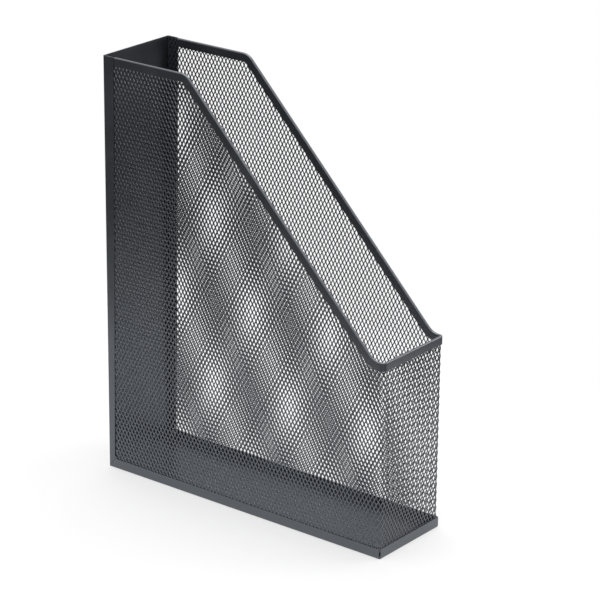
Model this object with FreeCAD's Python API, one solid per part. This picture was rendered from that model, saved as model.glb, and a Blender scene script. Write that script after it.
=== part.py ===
import FreeCAD, Part
import math
import os
from FreeCAD import Vector

# Desk magazine file in powder-coated steel, in millimetres.
# X is the width, Y the depth with the low front at -Y, and Z is up from the underside of the floor.

# Overall sizes, over the outside of the sheet steel
width = 70.0
depth = 250.0
height = 315.0                # back panel and the level part of the side rims
front_height = 145.5          # top of the rim across the front

# Sheet steel of the back panel and the tray
sheet = 0.6
fold_radius = 0.5             # inside radius of every fold in it
tray_wall_height = 7.5
flange_top_width = 10.0       # side flange of the back panel, over the panel's outer face
flange_foot_width = 5.7       # the same flange where it meets the tray wall
inner_corner_radius = 3.0     # rounded corner between that flange and the tray wall

# Expanded steel mesh, bent in a U around both sides and the front
mesh_thickness = 1.0          # over its raised strands
mesh_bend_radius = 2.0        # inside radius of the two front corners

# Coarse upright diamonds, staggered from row to row, that stand for the mesh's thousands of small ones
opening_pitch_across = 20.9
opening_pitch_up = 38.0
opening_strand = 5.2          # width of the strand between two openings
least_opening_share = 0.1     # one that the field's edges cut smaller than this is left closed

# Line of the open top, seen from the side
shoulder_length = 76.0        # level run forward of the back panel, up to the slope's upper knee
front_land = 9.0              # level run behind the front face, up to the slope's lower knee
upper_knee_radius = 11.0
lower_knee_radius = 11.5

# Folded strip that caps the mesh along the open top
rim_strip = 0.5
rim_depth = 6.3
rim_fold_round = 0.8          # outside rounding of the strip's two folds

# Clearances
mesh_clearance = 0.05         # between the mesh and each sheet beside it
mesh_top_gap = 0.3            # between the mesh's cut edge and the inside of the rim
rim_end_gap = 0.3             # between the rim's ends and the back panel's flanges
mitre_gap = 0.15              # between a flange's foot and the tray wall
back_clearance = 0.05         # between the tray's rear wall and the back panel
tuck_clearance = 0.15         # between the tray's rear wall and the mesh beside it

# Worked out from the sizes above
half_width = width / 2
front_face = -depth / 2
back_face = depth / 2
fold_outside = fold_radius + sheet
mesh_inset = sheet + mesh_clearance
bend_centre_inset = mesh_inset + mesh_thickness + mesh_bend_radius
rim_outer_inset = mesh_inset - mesh_clearance - rim_strip
rim_inner_inset = mesh_inset + mesh_thickness + mesh_clearance + rim_strip
mesh_foot = sheet + fold_radius
upper_knee = Vector(0, back_face - shoulder_length, height)
lower_knee = Vector(0, front_face + front_land, front_height)
slope_angle = math.atan2(upper_knee.z - lower_knee.z, upper_knee.y - lower_knee.y)
beyond = width                # how far cutting shapes reach past what they cut
same_point = 1e-6             # points nearer than this are one
on_line = 0.001               # a point nearer than this to a line lies on it

along_x = Vector(1, 0, 0)
along_y = Vector(0, 1, 0)
along_z = Vector(0, 0, 1)


def rounded_outline(points, radii):
    """Closed wire through the points, each corner rounded by an arc of its radius."""
    starts, ends, arcs = [], [], []
    for i, (corner, radius) in enumerate(zip(points, radii)):
        to_previous = (points[i - 1] - corner).normalize()
        to_next = (points[(i + 1) % len(points)] - corner).normalize()
        if not radius:
            starts.append(corner)
            ends.append(corner)
            arcs.append(None)
            continue
        half_angle = to_previous.getAngle(to_next) / 2
        bisector = (to_previous + to_next).normalize()
        starts.append(corner + to_previous * (radius / math.tan(half_angle)))
        ends.append(corner + to_next * (radius / math.tan(half_angle)))
        middle = corner + bisector * (radius / math.sin(half_angle) - radius)
        arcs.append(Part.Arc(starts[-1], middle, ends[-1]).toShape())
    edges = []
    for i, arc in enumerate(arcs):
        if arc:
            edges.append(arc)
        next_start = starts[(i + 1) % len(points)]
        if not ends[i].isEqual(next_start, same_point):    # an arc may run on to the next corner
            edges.append(Part.LineSegment(ends[i], next_start).toShape())
    return Part.Wire(edges)


def prism(points, radii, direction):
    return Part.Face(rounded_outline(points, radii)).extrude(direction)


def across_width(points, radii):
    """Prism of an outline in the YZ plane, wider than the holder on both sides."""
    start = Vector(-half_width - beyond, 0, 0)
    return prism([start + p for p in points], radii, along_x * (width + 2 * beyond))


def folded_edge(start, end, inward, up, wall):
    """Fold along the edge of a sheet: inward lies in the sheet, and up is the wall's direction."""
    section = [(0, wall), (0, 0), (fold_outside, 0), (fold_outside, sheet), (sheet, sheet), (sheet, wall)]
    points = [start + inward * a + up * b for a, b in section]
    return prism(points, [0, fold_outside, 0, 0, fold_radius, 0], end - start)


def both_sides(left):
    return [left, left.mirror(Vector(0, 0, 0), along_x)]


def one_piece(first, others):
    return first.multiFuse(others).removeSplitter()


def plan_points(inset):
    """Corners of the mesh's plan at this inset from the holder's outside, left open past the back."""
    x = half_width - inset
    y = front_face + inset
    rear = back_face + beyond
    return [Vector(-x, y, 0), Vector(x, y, 0), Vector(x, rear, 0), Vector(-x, rear, 0)]


def plan_radii(inset):
    radius = bend_centre_inset - inset
    return [radius, radius, 0, 0]


def wrap_between(outer_inset, inner_inset):
    """U-shaped wall around both sides and the front, as tall as the holder."""
    outer = prism(plan_points(outer_inset), plan_radii(outer_inset), along_z * height)
    inner = prism(plan_points(inner_inset), plan_radii(inner_inset), along_z * height)
    return outer.cut(inner)


def side_points(inset, rear, foot):
    """Side view of what lies at least this far inside the line of the open top."""
    shift = Vector(0, inset * math.tan(slope_angle / 2), -inset)
    front = front_face - beyond
    return [Vector(0, rear, foot), Vector(0, rear, height - inset), upper_knee + shift,
            lower_knee + shift, Vector(0, front, front_height - inset), Vector(0, front, foot)]


def side_radii(inset):
    return [0, 0, upper_knee_radius - inset, lower_knee_radius + inset, 0, 0]


def below_top(inset, rear, foot):
    return across_width(side_points(inset, rear, foot), side_radii(inset))


def side_frame():
    """Side view of a back flange and a tray wall together, with their rounded inner corner."""
    points = [Vector(0, back_face, 0), Vector(0, back_face, height),
              Vector(0, back_face - flange_top_width, height),
              Vector(0, back_face - flange_foot_width, tray_wall_height),
              Vector(0, front_face, tray_wall_height), Vector(0, front_face, 0)]
    return across_width(points, [0, 0, 0, inner_corner_radius, 0, 0])


def mitre_side(sign):
    """Half-space on one side of the mitre line: +1 holds the flange, -1 holds the tray wall."""
    corner = Vector(0, back_face, 0)
    line = Vector(0, -flange_foot_width, tray_wall_height).normalize()
    normal = Vector(0, line.z, -line.y) * sign
    edge = corner + normal * (mitre_gap / 2)
    reach = depth + height
    points = [edge - line * reach, edge + line * reach,
              edge + (line + normal) * reach, edge + (normal - line) * reach]
    return across_width(points, [0, 0, 0, 0])


def make_back_panel():
    flat = Part.makeBox(width - 2 * fold_outside, sheet, height,
                        Vector(-half_width + fold_outside, back_face - sheet, 0))
    foot = Vector(-half_width, back_face, 0)
    flange = folded_edge(foot, foot + along_z * height, along_x, -along_y, flange_top_width)
    flange = flange.common(side_frame()).common(mitre_side(1))
    return one_piece(flat, both_sides(flange))


def make_base_tray():
    rear_wall_face = back_face - sheet - back_clearance
    front_start = front_face + fold_outside
    floor = Part.makeBox(width - 2 * fold_outside, rear_wall_face - fold_outside - front_start, sheet,
                         Vector(-half_width + fold_outside, front_start, 0))
    side = folded_edge(Vector(-half_width, front_start, 0), Vector(-half_width, back_face, 0),
                       along_x, along_z, tray_wall_height + inner_corner_radius)
    side = side.common(side_frame()).common(mitre_side(-1))
    front_half = half_width - fold_outside
    front = folded_edge(Vector(-front_half, front_face, 0), Vector(front_half, front_face, 0),
                        along_y, along_z, tray_wall_height)
    rear_half = half_width - mesh_inset - mesh_thickness - tuck_clearance
    rear = folded_edge(Vector(-rear_half, rear_wall_face, 0), Vector(rear_half, rear_wall_face, 0),
                       -along_y, along_z, tray_wall_height)
    return one_piece(floor, both_sides(side) + [front, rear])


def upright_face(points):
    return Part.Face(Part.makePolygon(points + points[:1]))


def upright_rectangle(foot, across, top):
    """Face standing on the line from foot along across, up to the height of top."""
    up = along_z * (top - foot.z)
    return upright_face([foot, foot + across, foot + across + up, foot + up])


def side_field():
    """What shows of a side of the mesh, from its front bend to the flange and from the tray to the rim."""
    outline = side_points(rim_depth, back_face - flange_top_width, tray_wall_height)
    below_rim = Part.Face(rounded_outline(outline, side_radii(rim_depth)))
    bend_end = Vector(0, front_face + bend_centre_inset, 0)
    return below_rim.common(upright_rectangle(bend_end, along_y * depth, height))


def front_field():
    """What shows of the mesh's front, between its two bends and from the tray to the rim."""
    reach = half_width - bend_centre_inset
    foot = Vector(-reach, front_face, tray_wall_height)
    return upright_rectangle(foot, along_x * 2 * reach, front_height - rim_depth)


def diamond_openings(field, across):
    """Faces of the openings over an upright field, clipped where they run past its edges."""
    half_across = opening_pitch_across / 2
    half_up = opening_pitch_up / 2
    centre_to_strand = half_across * half_up / math.hypot(half_across, half_up)
    open_share = 1 - opening_strand / 2 / centre_to_strand
    to_side = across * half_across * open_share
    to_tip = along_z * half_up * open_share
    least_area = 2 * to_side.Length * to_tip.Length * least_opening_share
    box = field.BoundBox
    foot = Vector(box.Center.x, box.Center.y, box.ZMin)
    rows = math.ceil(box.ZLength / half_up)
    columns = math.ceil(box.DiagonalLength / opening_pitch_across)
    openings = []
    for row in range(rows + 1):
        stagger = row % 2 * half_across
        for column in range(-columns, columns + 1):
            middle = foot + across * (column * opening_pitch_across + stagger) + along_z * row * half_up
            diamond = upright_face([middle + to_side, middle + to_tip, middle - to_side, middle - to_tip])
            opening = diamond.common(field)
            if opening.Area > least_area:
                openings.append(opening)
    return openings


def make_mesh_wrap():
    wall = wrap_between(mesh_inset, mesh_inset + mesh_thickness)
    wall = wall.common(below_top(rim_strip + mesh_top_gap, back_face - fold_outside, mesh_foot))
    through_sides = [opening.translated(along_x * -half_width).extrude(along_x * width)
                     for opening in diamond_openings(side_field(), along_y)]
    through_front = [opening.extrude(along_y * bend_centre_inset)
                     for opening in diamond_openings(front_field(), along_x)]
    return wall.cut(through_sides + through_front)


def lies_on(point, wire):
    return Part.Vertex(point).distToShape(wire)[0] < on_line


def make_rim_channel():
    rear = back_face - flange_top_width - rim_end_gap
    band = below_top(0, rear, 0).cut(below_top(rim_depth, rear + beyond, -beyond))
    strip = wrap_between(rim_outer_inset, rim_inner_inset).common(band)
    top_line = rounded_outline(side_points(0, rear, 0), side_radii(0))
    faces_in_plan = [rounded_outline(plan_points(inset), plan_radii(inset))
                     for inset in (rim_outer_inset, rim_inner_inset)]
    folds = []
    for edge in strip.Edges:
        middle = edge.valueAt((edge.FirstParameter + edge.LastParameter) / 2)
        in_plan = Vector(middle.x, middle.y, 0)
        from_side = Vector(0, middle.y, middle.z)
        if lies_on(from_side, top_line) and any(lies_on(in_plan, face) for face in faces_in_plan):
            folds.append(edge)
    strip = strip.makeFillet(rim_fold_round, folds)
    slot = wrap_between(mesh_inset - mesh_clearance, mesh_inset + mesh_thickness + mesh_clearance)
    return strip.cut(slot.common(below_top(rim_strip, rear + beyond, 0)))


nodes = {
    "back_panel": make_back_panel(),
    "base_tray": make_base_tray(),
    "mesh_wrap": make_mesh_wrap(),
    "rim_channel": make_rim_channel(),
}

os.makedirs("parts", exist_ok=True)
for name, shape in nodes.items():
    shape.exportStep("parts/" + name + ".step")
    box = shape.BoundBox
    print(f"{name}: {len(shape.Solids)} solid, valid {shape.isValid()}, {shape.Volume:.0f} mm3,",
          f"X {box.XMin:.2f} {box.XMax:.2f}, Y {box.YMin:.2f} {box.YMax:.2f},",
          f"Z {box.ZMin:.2f} {box.ZMax:.2f}")
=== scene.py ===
import math

import bmesh
import bpy
from mathutils import Matrix, Vector


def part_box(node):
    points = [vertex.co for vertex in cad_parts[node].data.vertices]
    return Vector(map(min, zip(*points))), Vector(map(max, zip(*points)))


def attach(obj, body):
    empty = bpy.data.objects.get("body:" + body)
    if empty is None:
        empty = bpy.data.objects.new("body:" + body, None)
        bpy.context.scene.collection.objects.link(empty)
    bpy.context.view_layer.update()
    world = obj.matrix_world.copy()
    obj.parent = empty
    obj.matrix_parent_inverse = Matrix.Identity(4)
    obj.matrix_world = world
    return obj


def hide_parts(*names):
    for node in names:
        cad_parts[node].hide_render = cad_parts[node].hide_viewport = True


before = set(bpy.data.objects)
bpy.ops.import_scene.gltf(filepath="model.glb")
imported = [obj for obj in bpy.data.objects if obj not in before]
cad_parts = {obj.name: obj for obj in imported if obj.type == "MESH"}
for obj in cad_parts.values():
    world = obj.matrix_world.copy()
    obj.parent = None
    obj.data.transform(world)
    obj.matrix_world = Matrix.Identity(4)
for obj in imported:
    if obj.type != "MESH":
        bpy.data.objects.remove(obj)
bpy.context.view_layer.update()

# Desk magazine file: two folded sheets, a bent expanded-metal wrap and a folded rim, all powder-coated black.
# X is the width, Y the depth with the low front at -Y, and Z is up. Lengths are in metres.

mm = 0.001
quarterTurn = math.pi / 2
tiny = 0.001 * mm
alongX, alongY, alongZ = Vector((1, 0, 0)), Vector((0, 1, 0)), Vector((0, 0, 1))

backLow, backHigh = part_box("back_panel")
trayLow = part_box("base_tray")[0]
wrapLow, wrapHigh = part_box("mesh_wrap")
rimLow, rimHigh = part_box("rim_channel")


# Shader maths: a Shade wraps one output socket, and arithmetic on it adds Math nodes.
class Shade:
    def __init__(self, tree, socket=None):
        self.tree = tree
        self.socket = socket

    def node(self, kind, settings=None, values=None, output=0):
        made = self.tree.nodes.new("ShaderNode" + kind)
        for name, setting in (settings or {}).items():
            if name == "stops":
                for element, (position, level) in zip(made.color_ramp.elements, setting):
                    element.position = position
                    element.color = (level, level, level, 1)
            else:
                setattr(made, name, setting)
        for name, value in (values or {}).items():
            if isinstance(value, Shade):
                self.tree.links.new(value.socket, made.inputs[name])
            else:
                made.inputs[name].default_value = value
        return Shade(self.tree, made.outputs[output])

    def maths(self, operation, first, second):
        return self.node("Math", {"operation": operation}, {0: first, 1: second})

    def __add__(self, other):
        return self.maths("ADD", self, other)

    __radd__ = __add__

    def __sub__(self, other):
        return self.maths("SUBTRACT", self, other)

    def __rsub__(self, other):
        return self.maths("SUBTRACT", other, self)

    def __mul__(self, other):
        return self.maths("MULTIPLY", self, other)

    __rmul__ = __mul__

    def noise(self, place, size, detail=2.0, rough=0.5):
        return self.node("TexNoise", {}, {"Vector": place, "Scale": 1 / size,
                                          "Detail": detail, "Roughness": rough})

    def ramp(self, value, spread):
        low, high = spread
        return self.node("ValToRGB", {"stops": [(low, 0), (high, 1)]}, {"Fac": value})

    def blend(self, share, first, second):
        # 6, 7 and, coming out, 2 are the Mix node's colour sockets
        return self.node("Mix", {"data_type": "RGBA"}, {0: share, 6: first, 7: second}, output=2)

    def rgb(self, colour):
        return (*colour, 1)

    def finish(self, kind, surface):
        output = self.tree.nodes.new("ShaderNodeOutput" + kind)
        self.tree.links.new(surface.socket, output.inputs["Surface"])


def emptyMaterial(name):
    material = bpy.data.materials.new(name)
    material.use_nodes = True
    material.node_tree.nodes.clear()
    return material, Shade(material.node_tree)


coat = {
    "black": (0.013, 0.0135, 0.016),     # satin black powder
    "worn": (0.060, 0.062, 0.068),       # where the powder has pulled thin or been rubbed
    "dust": (0.19, 0.19, 0.185),
    "sheen": (0.84, 0.91, 1.0),          # cool tint of what it mirrors
    "ior": 2.1,
    "roughness": 0.32,
    "peelSize": 0.80 * mm,               # orange peel of the baked powder
    "peelDepth": 0.04 * mm,
    "waveSize": 24 * mm,                 # slow waviness of thin sheet
    "waveDepth": 0.05 * mm,
    "peelStrength": 0.5,
    "waveStrength": 0.35,
    "smudgeSize": 34 * mm,               # handling marks, a little duller
    "smudgeSpread": (0.42, 0.68),        # noise at which the marks start, and are full
    "smudgeRoughness": 0.07,
    "speckleSize": 0.9 * mm,             # grain of the powder
    "speckleRoughness": 0.08,
    "mottleSize": 7 * mm,                # faint unevenness of its black
    "mottleShare": 0.10,
    "chipSize": 2.2 * mm,
    "chipSpread": (0.58, 0.70),
    "scuffSize": 5 * mm,
    "scuffSpread": (0.50, 0.72),
    "scuffHeight": 3 * mm,               # rubbing along the foot
    "scuffShare": 0.45,
    "dustShare": 0.10,                   # on what faces up
    "dustSpread": (0.55, 0.98),          # how far up it has to face
    "dustGrain": 0.3,
    "dustRoughness": 0.5,
}


def powderCoat(name, wornShare, peel=1.0, gloss=0.0):
    material, shade = emptyMaterial(name)
    place = shade.node("TexCoord", output="Object")
    height = shade.node("SeparateXYZ", {}, {0: place}, output="Z")
    facing = shade.node("SeparateXYZ", {}, {0: shade.node("NewGeometry", output="Normal")}, output="Z")

    smudge = shade.ramp(shade.noise(place, coat["smudgeSize"], detail=4, rough=0.6), coat["smudgeSpread"])
    mottle = shade.noise(place, coat["mottleSize"], detail=3, rough=0.6)
    speckle = shade.noise(place, coat["speckleSize"])
    chips = shade.ramp(shade.noise(place, coat["chipSize"], detail=5, rough=0.7), coat["chipSpread"])
    scuff = shade.ramp(shade.noise(place, coat["scuffSize"], detail=5, rough=0.75), coat["scuffSpread"])
    nearFoot = shade.node("MapRange", {"clamp": True}, {"Value": height, "From Min": coat["scuffHeight"],
                                                        "From Max": 0, "To Min": 0, "To Max": 1})

    worn = chips * wornShare + scuff * nearFoot * coat["scuffShare"] + mottle * coat["mottleShare"]
    dusty = shade.ramp(facing, coat["dustSpread"]) * (smudge + speckle * coat["dustGrain"])
    dusty = dusty * coat["dustShare"]
    worn = shade.node("Clamp", {}, {"Value": worn})
    colour = shade.blend(worn, shade.rgb(coat["black"]), shade.rgb(coat["worn"]))
    colour = shade.blend(dusty, colour, shade.rgb(coat["dust"]))
    roughness = coat["roughness"] - gloss + smudge * coat["smudgeRoughness"]
    roughness = roughness + (speckle - 0.5) * coat["speckleRoughness"] + dusty * coat["dustRoughness"]

    wave = shade.noise(place, coat["waveSize"], detail=1)
    waveBump = shade.node("Bump", {}, {"Strength": coat["waveStrength"], "Distance": coat["waveDepth"],
                                       "Height": wave})
    peelNoise = shade.noise(place, coat["peelSize"], detail=3, rough=0.55)
    peelBump = shade.node("Bump", {}, {"Strength": coat["peelStrength"] * peel,
                                       "Distance": coat["peelDepth"], "Height": peelNoise,
                                       "Normal": waveBump})
    surface = shade.node("BsdfPrincipled", {}, {"Base Color": colour, "Roughness": roughness,
                                                "Normal": peelBump, "Metallic": 0.0, "IOR": coat["ior"],
                                                "Specular Tint": shade.rgb(coat["sheen"])})
    shade.finish("Material", surface)
    return material


sheetCoat = powderCoat("sheetPowderCoat", wornShare=0.10)
edgeCoat = powderCoat("sheetEdgeCoat", wornShare=0.55, peel=0.6, gloss=0.06)
rimCoat = powderCoat("rimPowderCoat", wornShare=0.12)
meshCoat = powderCoat("meshPowderCoat", wornShare=0.16, peel=0.6, gloss=0.10)
print("materials made")


def finishPiece(name, bm, materials, node):
    mesh = bpy.data.meshes.new(name)
    bm.to_mesh(mesh)
    bm.free()
    for material in materials:
        mesh.materials.append(material)
    piece = bpy.data.objects.new(name, mesh)
    bpy.context.scene.collection.objects.link(piece)
    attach(piece, "root")
    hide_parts(node)
    return piece


def everything(bm):
    return bm.verts[:] + bm.edges[:] + bm.faces[:]


def edgesWhere(bm, test):
    return [edge for edge in bm.edges if all(test(vert.co) for vert in edge.verts)]


def near(value, target):
    return abs(value - target) < tiny


def edgesOf(geometry):
    return [item for item in geometry if isinstance(item, bmesh.types.BMEdge)]


def vertsOf(geometry):
    return [item for item in geometry if isinstance(item, bmesh.types.BMVert)]


def pull(bm, edges, move):
    # draws the strip on in a straight line
    pulled = bmesh.ops.extrude_edge_only(bm, edges=edges)["geom"]
    bmesh.ops.translate(bm, verts=vertsOf(pulled), vec=move)
    return edgesOf(pulled)


def turn(bm, edges, centre, axis, angle, steps):
    # draws the strip on round a bend
    verts = list(dict.fromkeys(vert for edge in edges for vert in edge.verts))
    spun = bmesh.ops.spin(bm, geom=verts + edges, cent=centre, axis=axis, dvec=(0, 0, 0), angle=angle,
                          steps=steps, use_merge=False, use_duplicate=False)
    return edgesOf(spun["geom_last"])


def cut(bm, point, normal, keep=False):
    bmesh.ops.bisect_plane(bm, geom=everything(bm), dist=tiny * 0.1, plane_co=point, plane_no=normal,
                           clear_outer=not keep)


def mirrorHalf(bm):
    # each sheet and the rim are folded as a left half first
    bmesh.ops.mirror(bm, geom=everything(bm), matrix=Matrix.Identity(4), merge_dist=tiny, axis="X")
    bmesh.ops.remove_doubles(bm, verts=bm.verts[:], dist=tiny)
    bmesh.ops.recalc_face_normals(bm, faces=bm.faces[:])


def sortByPlace(bm):
    # spin leaves the faces of a closed section in another order each run
    def corners(part):
        return sorted(vert.index for vert in part.verts)

    for parts, place in ((bm.verts, lambda vert: vert.co[:]), (bm.edges, corners), (bm.faces, corners)):
        rank = {part: i for i, part in enumerate(sorted(parts, key=place))}
        parts.sort(key=rank.get)
        parts.index_update()


def flatShading(piece):
    # smooth across the folds, and level on the flats between them
    for polygon in piece.data.polygons:
        polygon.use_smooth = True
    piece.modifiers.new("flatShading", "WEIGHTED_NORMAL")


sheetMetal = {
    "thickness": 0.6 * mm,
    "foldInside": 0.5 * mm,
    "foldSteps": 6,
    "wallHeight": 7.5 * mm,
    "flangeFoot": 5.7 * mm,
    "cornerRadius": 3.0 * mm,
    "cornerSteps": 8,
    "mitreGap": 0.15 * mm,
    "edgeRound": 0.14 * mm,
    "edgeSteps": 2,
    "edgeAngle": 40,                 # degrees; a blunter edge isn't rounded
}
foldOutside = sheetMetal["foldInside"] + sheetMetal["thickness"]
leftX = trayLow.x
frontY = trayLow.y
rearY = backHigh.y
flangeTop = rearY - backLow.y
wallTop = sheetMetal["wallHeight"]


def sideFrame(bm, rear, foot):
    # the L that a back flange and a tray wall make together, rounded where they meet
    front = frontY + foldOutside
    corners = [(rear, foot), (rear, backHigh.z), (rearY - flangeTop, backHigh.z),
               (rearY - sheetMetal["flangeFoot"], wallTop), (front, wallTop), (front, foot)]
    verts = [bm.verts.new((leftX, y, z)) for y, z in corners]
    bm.faces.new(verts)
    inner = verts[3].co
    toTop = (verts[2].co - inner).normalized()
    toFront = (verts[4].co - inner).normalized()
    reach = sheetMetal["cornerRadius"] / math.tan(toTop.angle(toFront) / 2)
    bmesh.ops.bevel(bm, geom=[verts[3]], affect="VERTICES", offset=reach, segments=sheetMetal["cornerSteps"],
                    profile=0.5, material=-1)


def mitre(bm, keepFlange):
    # the slanting cut between a flange's foot and the tray wall
    line = Vector((0, -sheetMetal["flangeFoot"], wallTop)).normalized()
    across = Vector((0, line.z, -line.y))
    side = 1 if keepFlange else -1
    corner = Vector((0, rearY, 0))
    cut(bm, corner + across * side * sheetMetal["mitreGap"] / 2, across * -side)


def finishSheet(name, bm, node):
    piece = finishPiece(name, bm, [sheetCoat, edgeCoat], node)
    solid = piece.modifiers.new("thickness", "SOLIDIFY")
    solid.thickness = sheetMetal["thickness"]
    solid.offset = -1
    solid.use_even_offset = True
    solid.material_offset_rim = 1
    rounding = piece.modifiers.new("edgeRounding", "BEVEL")
    rounding.width = sheetMetal["edgeRound"]
    rounding.segments = sheetMetal["edgeSteps"]
    rounding.limit_method = "ANGLE"
    rounding.angle_limit = math.radians(sheetMetal["edgeAngle"])
    rounding.material = 1
    flatShading(piece)


def makeBackPanel():
    bm = bmesh.new()
    flatY = rearY - foldOutside
    sideFrame(bm, flatY, 0)
    rearEdge = edgesWhere(bm, lambda co: near(co.y, flatY))
    turn(bm, rearEdge, (leftX + foldOutside, flatY, 0), alongZ, -quarterTurn, sheetMetal["foldSteps"])
    mitre(bm, keepFlange=True)
    last = edgesWhere(bm, lambda co: near(co.y, rearY))
    foot = min((vert for edge in last for vert in edge.verts), key=lambda vert: vert.co.z)
    foot.co.z = 0
    pull(bm, last, alongX * -(leftX + foldOutside))
    mirrorHalf(bm)
    finishSheet("backPanel", bm, "back_panel")


tray = {
    "backClearance": 0.05 * mm,      # rear lip to back panel
    "lipInset": 1.8 * mm,            # how far the rear lip stays inside the holder's side, clear of the mesh
    "lipFlat": 0.1 * mm,             # level strip between the floor's rear edge and the rear lip's fold
}


def makeBaseTray():
    bm = bmesh.new()
    sideFrame(bm, rearY, foldOutside)
    foldX = leftX + foldOutside
    turn(bm, edgesWhere(bm, lambda co: near(co.z, foldOutside)), (foldX, 0, foldOutside), alongY,
         -quarterTurn, sheetMetal["foldSteps"])
    mitre(bm, keepFlange=False)

    frontStart = frontY + foldOutside
    rearWall = rearY - sheetMetal["thickness"] - tray["backClearance"]
    rearStart = rearWall - foldOutside
    floorEnd = rearStart - tray["lipFlat"]
    cut(bm, (0, floorEnd, 0), alongY, keep=True)
    floorEdge = edgesWhere(bm, lambda co: near(co.z, 0) and co.y < floorEnd + tiny)
    lipStart = leftX + tray["lipInset"]
    floorEdge = pull(bm, floorEdge, alongX * (lipStart - foldX))
    pull(bm, floorEdge, alongX * -lipStart)

    def lip(edges, y, outward):
        last = turn(bm, edges, (0, y, foldOutside), alongX, quarterTurn * outward, sheetMetal["foldSteps"])
        pull(bm, last, alongZ * (wallTop - foldOutside))

    lip(edgesWhere(bm, lambda co: near(co.z, 0) and near(co.y, frontStart)), frontStart, -1)
    rearEdge = edgesWhere(bm, lambda co: near(co.z, 0) and near(co.y, floorEnd) and co.x > lipStart - tiny)
    lip(pull(bm, rearEdge, alongY * tray["lipFlat"]), rearStart, 1)
    mirrorHalf(bm)
    finishSheet("baseTray", bm, "base_tray")


topLine = {
    "shoulder": 76 * mm,             # level run forward of the back, to the slope's upper knee
    "frontLand": 9 * mm,             # level run behind the front, to the lower knee
    "upperRadius": 11 * mm,
    "lowerRadius": 11.5 * mm,
    "kneeSteps": 10,
}
rim = {
    "strip": 0.5 * mm,
    "depth": 6.3 * mm,
    "foldRound": 0.8 * mm,
    "foldSteps": 5,
    "insideRound": 0.3 * mm,
    "insideSteps": 3,
    "lipRound": 0.15 * mm,
    "lipSteps": 2,
    "meshThickness": 1.0 * mm,       # of the solid that the rim folds over; the strands lie inside it
    "cornerInset": 3.65 * mm,        # from the holder's outside to the centre of each front corner's bend
    "cornerSteps": 10,
}
frontTop = rimLow.z + rim["depth"]
upperKnee = Vector((0, rearY - topLine["shoulder"], backHigh.z))
lowerKnee = Vector((0, frontY + topLine["frontLand"], frontTop))
slopeLine = upperKnee - lowerKnee
slopeAngle = math.atan2(slopeLine.z, slopeLine.y)
bendX = leftX + rim["cornerInset"]
bendY = frontY + rim["cornerInset"]


def rimProfile(bm):
    # the folded strip's section at its rear end, open downwards
    outer, inner = rimLow.x, rimLow.x + 2 * (wrapLow.x - rimLow.x) + rim["meshThickness"]
    top, foot = rimHigh.z, rimHigh.z - rim["depth"]
    strip = rim["strip"]
    corners = [(outer, foot), (outer, top), (inner, top), (inner, foot), (inner - strip, foot),
               (inner - strip, top - strip), (outer + strip, top - strip), (outer + strip, foot)]
    verts = [bm.verts.new((x, rimHigh.y, z)) for x, z in corners]
    bm.faces.new(verts)
    folds, lips, insides = verts[1:3], [verts[i] for i in (0, 3, 4, 7)], verts[5:7]
    for name, chosen in (("fold", folds), ("lip", lips), ("inside", insides)):
        bmesh.ops.bevel(bm, geom=chosen, affect="VERTICES", offset=rim[name + "Round"],
                        segments=rim[name + "Steps"], profile=0.5, material=-1)
    return bm.edges[:]


def makeRim():
    bm = bmesh.new()
    edges = rimProfile(bm)
    upperReach = topLine["upperRadius"] * math.tan(slopeAngle / 2)
    lowerReach = topLine["lowerRadius"] * math.tan(slopeAngle / 2)
    downhill = -slopeLine.normalized()

    edges = pull(bm, edges, alongY * (upperKnee.y + upperReach - rimHigh.y))
    edges = turn(bm, edges, (0, upperKnee.y + upperReach, upperKnee.z - topLine["upperRadius"]), alongX,
                 slopeAngle, topLine["kneeSteps"])
    edges = pull(bm, edges, downhill * (slopeLine.length - upperReach - lowerReach))
    edges = turn(bm, edges, (0, lowerKnee.y - lowerReach, lowerKnee.z + topLine["lowerRadius"]), alongX,
                 -slopeAngle, topLine["kneeSteps"])
    edges = pull(bm, edges, alongY * (bendY - lowerKnee.y + lowerReach))
    edges = turn(bm, edges, (bendX, bendY, 0), alongZ, quarterTurn, rim["cornerSteps"])
    pull(bm, edges, alongX * -bendX)
    mirrorHalf(bm)
    sortByPlace(bm)
    flatShading(finishPiece("rimChannel", bm, [rimCoat], "rim_channel"))


makeBackPanel()
print("back panel made")
makeBaseTray()
print("base tray made")
makeRim()
print("rim made")

expandedMesh = {
    "pitchAcross": 3.33 * mm,        # short way of the diamonds
    "pitchUp": 6.06 * mm,            # long way
    "strip": 0.50 * mm,              # sheet that the mesh is slit and stretched from
    "lean": 0.12 * mm,               # how far each bond leans in on one side and out on the other
    "bondSeam": 1.0 * mm,            # length of the line between the two strands that make a bond
    "bondHeight": 1.6 * mm,          # bond, between the tips of the diamonds above and below
    "bondSide": 0.5 * mm,            # blunt side corner of a diamond
    "strandWidth": 0.46 * mm,        # half a bond, measured across
    "topInset": 0.8 * mm,            # cut edge inside the rim
    "frontCells": 25,                # half pitches from the middle of the front to its seams
    "sideSeam": 24 * mm,             # where each side's two lengths meet
}
acrossPitch, upPitch = expandedMesh["pitchAcross"], expandedMesh["pitchUp"]
wrapMiddle = rim["meshThickness"] / 2
bendRadius = bendX - wrapLow.x - wrapMiddle
bendLength = bendRadius * quarterTurn
frontHalf = -bendX


def cellPoint(co, half, seam, tip):
    # a corner of the hexagon that tiles the mesh, or of the opening in it
    if abs(co.x) < tiny:
        return Vector((0, 0, math.copysign(tip, co.z)))
    return Vector((math.copysign(half, co.x), 0, math.copysign(seam / 2, co.z)))


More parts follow.
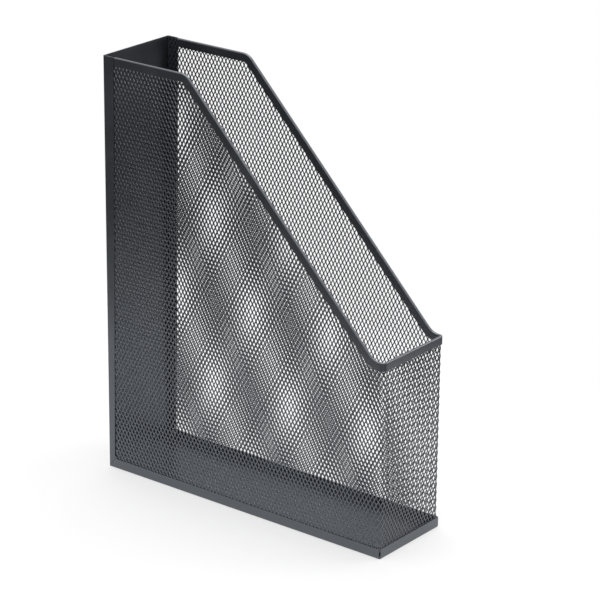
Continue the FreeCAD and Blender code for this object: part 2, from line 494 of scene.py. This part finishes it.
def meshCell(bm):
    # a hexagon with an opening, each of whose corners is then put in its place
    bmesh.ops.create_circle(bm, cap_ends=True, radius=1 * mm, segments=6,
                            matrix=Matrix.Rotation(quarterTurn, 4, "X"))
    face = bm.faces[:][0]
    outer = list(face.verts)
    bmesh.ops.inset_region(bm, faces=[face], thickness=0.2 * mm, use_even_offset=True, use_boundary=True)
    inner = list(face.verts)
    seam = expandedMesh["bondSeam"]
    for vert in outer:
        vert.co = cellPoint(vert.co, acrossPitch / 2, seam, upPitch / 2 - seam / 2)
    for vert in inner:
        vert.co = cellPoint(vert.co, acrossPitch / 2 - expandedMesh["strandWidth"], expandedMesh["bondSide"],
                            upPitch / 2 - expandedMesh["bondHeight"] / 2)
        if abs(vert.co.x) > tiny:
            vert.co.y = -math.copysign(expandedMesh["lean"], vert.co.x)
    bmesh.ops.delete(bm, geom=[face], context="FACES_ONLY")


def addCopy(bm, seed, move):
    copied = bmesh.ops.duplicate(bm, geom=seed)["geom"]
    bmesh.ops.translate(bm, verts=vertsOf(copied), vec=move)


def repeat(bm, step, count):
    seed = everything(bm)
    for i in range(1, count):
        addCopy(bm, seed, step * i)


def meshSheet(start, end, top):
    # flat mesh from start to end along the wrap, 0 being the middle of the front
    bm = bmesh.new()
    meshCell(bm)
    addCopy(bm, everything(bm), (acrossPitch / 2, 0, upPitch / 2))
    first = math.floor(start / acrossPitch) - 1
    columns = math.ceil(end / acrossPitch) + 2 - first
    rows = math.ceil(top / upPitch) + 2
    bmesh.ops.translate(bm, verts=bm.verts[:], vec=(first * acrossPitch, 0, 0))
    repeat(bm, alongX * acrossPitch, columns)
    repeat(bm, alongZ * upPitch, rows)
    bmesh.ops.remove_doubles(bm, verts=bm.verts[:], dist=tiny)
    cut(bm, (start, 0, 0), -alongX)
    cut(bm, (end, 0, 0), alongX)
    cut(bm, (0, 0, wrapLow.z), -alongZ)
    cut(bm, (0, 0, top), alongZ)
    return bm


def alongSide(y):
    # how far along the wrap a point on a side lies
    return frontHalf + bendLength + y - bendY


def trimToSlope(bm, side):
    # below the slope, and inside the rounding of its upper knee
    inset = expandedMesh["topInset"]
    radius = topLine["upperRadius"]
    centre = upperKnee + Vector((0, radius * math.tan(slopeAngle / 2), -radius))
    onSlope = Vector((0, -slopeLine.z, slopeLine.y)).normalized()
    onKnee = (onSlope + alongZ).normalized()
    planes = ((onSlope, upperKnee - onSlope * inset), (onKnee, centre + onKnee * (radius - inset)))
    for normal, point in planes:
        cut(bm, (side * alongSide(point.y), 0, point.z), (side * normal.y, 0, normal.z))


def wrapRound(bm):
    # bends the flat mesh round the two front corners
    for vert in bm.verts:
        along, out = abs(vert.co.x), -vert.co.y
        side = math.copysign(1, vert.co.x)
        angle = min(max((along - frontHalf) / bendRadius, 0), quarterTurn)
        past = max(along - frontHalf - bendLength, 0)
        reach = bendRadius + out
        x = min(along, frontHalf) + reach * math.sin(angle)
        y = bendY - reach * math.cos(angle) + past
        vert.co = (side * x, y, vert.co.z)
    bmesh.ops.recalc_face_normals(bm, faces=bm.faces[:])


def finishMesh(name, bm):
    wrapRound(bm)
    piece = finishPiece(name, bm, [meshCoat], "mesh_wrap")
    solid = piece.modifiers.new("thickness", "SOLIDIFY")
    solid.thickness = expandedMesh["strip"]
    solid.offset = 0


def makeMesh():
    frontSeam = expandedMesh["frontCells"] * acrossPitch / 2
    sideSeam = alongSide(expandedMesh["sideSeam"])
    rearEnd = alongSide(wrapHigh.y)
    finishMesh("meshFront", meshSheet(-frontSeam, frontSeam, frontTop - expandedMesh["topInset"]))
    for sideName, side in (("Left", -1), ("Right", 1)):
        for partName, fromSeam, toSeam in (("Low", frontSeam, sideSeam), ("High", sideSeam, rearEnd)):
            start, end = sorted((side * fromSeam, side * toSeam))
            bm = meshSheet(start, end, wrapHigh.z)
            trimToSlope(bm, side)
            finishMesh("mesh" + sideName + partName, bm)
            print("mesh", sideName.lower(), partName.lower(), "made")


makeMesh()

stage = {
    "tableLow": (-0.28, -0.37),
    "tableHigh": (0.32, 0.45),
    "tableCorner": 0.12,
    "tableCornerSteps": 12,
    "tableColour": (0.42, 0.42, 0.42),
    "tableRoughness": 0.9,
    "tableSpecular": 0.2,
    "tableLift": 0.58,               # white added where the table is seen or mirrored
    "tableDrop": 0.05 * mm,          # keeps the table and the tray's underside off one plane
    "roomAbove": 0.42,
    "roomBelow": 0.12,
    "roomHorizon": (-0.06, 0.10),    # rise of the direction over which the one turns into the other
}


def seenRays(shade):
    # camera rays, and rays that have been mirrored or have passed through something
    camera, glossy, through = [shade.node("LightPath", output="Is " + kind + " Ray")
                               for kind in ("Camera", "Glossy", "Transmission")]
    return camera, glossy + through


def makeTable():
    material, shade = emptyMaterial("paleTable")
    paper = shade.node("BsdfPrincipled", {}, {"Base Color": shade.rgb(stage["tableColour"]),
                                              "Roughness": stage["tableRoughness"],
                                              "Specular IOR Level": stage["tableSpecular"]})
    camera, mirrored = seenRays(shade)
    seen = shade.node("Clamp", {}, {"Value": camera + mirrored})
    lift = shade.node("Emission", {}, {"Color": (1, 1, 1, 1), "Strength": seen * stage["tableLift"]})
    topSide = shade.node("AddShader", {}, {0: paper, 1: lift})
    underneath = shade.node("NewGeometry", output="Backfacing")
    # clear from below, so that the holder's underside can be looked at
    clear = shade.node("BsdfTransparent")
    shade.finish("Material", shade.node("MixShader", {}, {0: underneath, 1: topSide, 2: clear}))
    bm = bmesh.new()
    (lowX, lowY), (highX, highY) = stage["tableLow"], stage["tableHigh"]
    outline = [(lowX, lowY), (highX, lowY), (highX, highY), (lowX, highY)]
    corners = [bm.verts.new((x, y, -stage["tableDrop"])) for x, y in outline]
    bm.faces.new(corners)
    bmesh.ops.bevel(bm, geom=corners, affect="VERTICES", offset=stage["tableCorner"],
                    segments=stage["tableCornerSteps"], profile=0.5, material=-1)
    mesh = bpy.data.meshes.new("table")
    bm.to_mesh(mesh)
    bm.free()
    mesh.materials.append(material)
    table = bpy.data.objects.new("table", mesh)
    bpy.context.scene.collection.objects.link(table)


def makeRoom():
    world = bpy.data.worlds.new("studio")
    world.use_nodes = True
    world.node_tree.nodes.clear()
    shade = Shade(world.node_tree)
    direction = shade.node("TexCoord", output="Generated")
    height = shade.node("SeparateXYZ", {}, {0: direction}, output="Z")
    low, high = stage["roomHorizon"]
    rising = shade.node("MapRange", {"clamp": True, "interpolation_type": "SMOOTHSTEP"},
                        {"Value": height, "From Min": low, "From Max": high, "To Min": 0, "To Max": 1})
    camera, mirrored = seenRays(shade)
    white = shade.node("Clamp", {}, {"Value": camera + mirrored * rising})
    light = stage["roomBelow"] + rising * (stage["roomAbove"] - stage["roomBelow"])
    light = light + white * (1 - light)
    background = shade.node("Background", {}, {"Color": (1, 1, 1, 1), "Strength": light})
    shade.finish("World", background)
    bpy.context.scene.world = world


lamps = {
    # name: (place, aim, width, height, power)
    "overhead": ((0.15, 0.10, 1.30), (0, 0, 0.15), 1.1, 0.9, 13.0),
    "front": ((1.22, -1.02, 0.66), (0, 0, 0.15), 0.8, 0.8, 7.0),
    "left": ((-1.50, -0.30, 0.95), (0, 0, 0.15), 0.7, 0.7, 4.0),
}


def makeLamps():
    for name, (place, aim, width, height, power) in lamps.items():
        data = bpy.data.lights.new(name, "AREA")
        data.shape = "RECTANGLE"
        data.size = width
        data.size_y = height
        data.energy = power
        lamp = bpy.data.objects.new(name, data)
        lamp.location = place
        lamp.rotation_mode = "QUATERNION"
        lamp.rotation_quaternion = (Vector(aim) - Vector(place)).to_track_quat("-Z", "Y")
        bpy.context.scene.collection.objects.link(lamp)


camera = {
    "place": (-1.4182, -1.1335, 0.8354),
    "turn": -52.0,                   # degrees from looking along +Y
    "tilt": 20.64,                   # degrees below the horizon
    "roll": 0.59,
    "lens": 165.0,
    "sensor": 36.0,
}


def makeCamera():
    turnAngle, tilt, roll = [math.radians(camera[name]) for name in ("turn", "tilt", "roll")]
    level = Vector((math.cos(turnAngle), math.sin(turnAngle), 0))
    forward = alongZ.cross(level) * math.cos(tilt) - alongZ * math.sin(tilt)
    upright = level.cross(forward)
    right = level * math.cos(roll) + upright * math.sin(roll)
    up = upright * math.cos(roll) - level * math.sin(roll)
    data = bpy.data.cameras.new("camera")
    data.lens = camera["lens"]
    data.sensor_width = camera["sensor"]
    data.clip_start = 0.05
    data.clip_end = 50
    body = bpy.data.objects.new("camera", data)
    body.matrix_world = Matrix((right, up, -forward)).transposed().to_4x4()
    body.location = camera["place"]
    bpy.context.scene.collection.objects.link(body)
    bpy.context.scene.camera = body


makeTable()
makeRoom()
makeLamps()
makeCamera()
bpy.context.scene.view_settings.view_transform = "Standard"
print("table, room, lamps and camera made")
